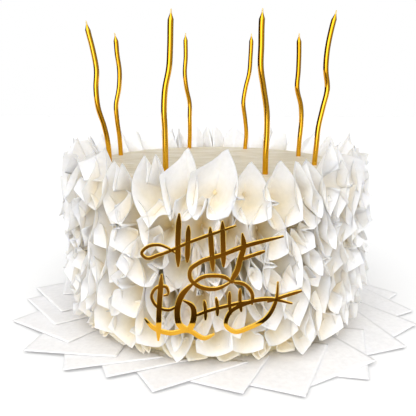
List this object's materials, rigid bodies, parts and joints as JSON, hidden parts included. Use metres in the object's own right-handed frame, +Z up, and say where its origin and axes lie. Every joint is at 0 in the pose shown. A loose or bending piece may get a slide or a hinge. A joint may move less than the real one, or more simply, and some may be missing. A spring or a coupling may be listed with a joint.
{
  "type": "birthday cake",
  "caption": "Tall round birthday cake in cream frosting, dressed in pinched white wafer-paper squares, with wavy gold candles and a gold mirror scroll topper.",
  "frame": {"origin": "middle of the cake's underside, on the surface it rests on", "axes": "+Z up; -Y is the front, where the topper is; +X is right as seen from the front"},
  "size_m": [0.3547, 0.3409, 0.2555],
  "materials": {
    "frosted_paper": "matt white wafer paper over cream frosting",
    "gold_wax": "glossy metallic gold wax",
    "gold_mirror": "mirror gold acrylic",
    "wafer_paper": "matt white wafer paper"
  },
  "bodies": {
    "root": {"cake": "frosted_paper", "candle_1": "gold_wax", "candle_2": "gold_wax", "candle_3": "gold_wax", "candle_4": "gold_wax", "candle_5": "gold_wax", "candle_6": "gold_wax", "candle_7": "gold_wax", "candle_8": "gold_wax", "topper": "gold_mirror", "square_01": "wafer_paper", "square_02": "wafer_paper", "square_03": "wafer_paper", "square_04": "wafer_paper", "square_05": "wafer_paper", "square_06": "wafer_paper", "square_07": "wafer_paper", "square_08": "wafer_paper", "square_09": "wafer_paper", "square_10": "wafer_paper", "square_11": "wafer_paper", "square_12": "wafer_paper", "square_13": "wafer_paper", "square_14": "wafer_paper", "square_15": "wafer_paper", "square_16": "wafer_paper", "square_17": "wafer_paper", "square_18": "wafer_paper", "square_19": "wafer_paper", "square_20": "wafer_paper", "square_21": "wafer_paper", "square_22": "wafer_paper", "square_23": "wafer_paper", "square_24": "wafer_paper", "square_25": "wafer_paper"}
  },
  "joints": []
}
